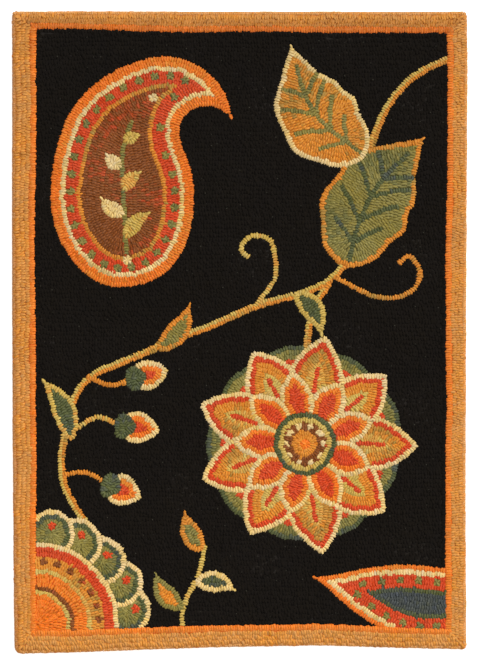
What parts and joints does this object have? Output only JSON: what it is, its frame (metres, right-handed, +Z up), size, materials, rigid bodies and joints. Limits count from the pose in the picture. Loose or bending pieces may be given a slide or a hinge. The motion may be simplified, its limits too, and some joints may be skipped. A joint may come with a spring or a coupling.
{
  "type": "hooked rug",
  "caption": "Small flat rectangular floor rug of hooked wool loops on a cotton cloth, with a rolled rim, a plain border and a floral field.",
  "frame": {"origin": "under the middle of the rug, on the surface that it lies on", "axes": "+X across the rug, +Y along its length towards the top of the pattern, +Z up out of the pile"},
  "size_m": [0.51, 0.719, 0.008],
  "materials": {
    "wool_pile": "looped wool yarn, matt"
  },
  "bodies": {
    "root": {"rug": "wool_pile"}
  },
  "joints": []
}
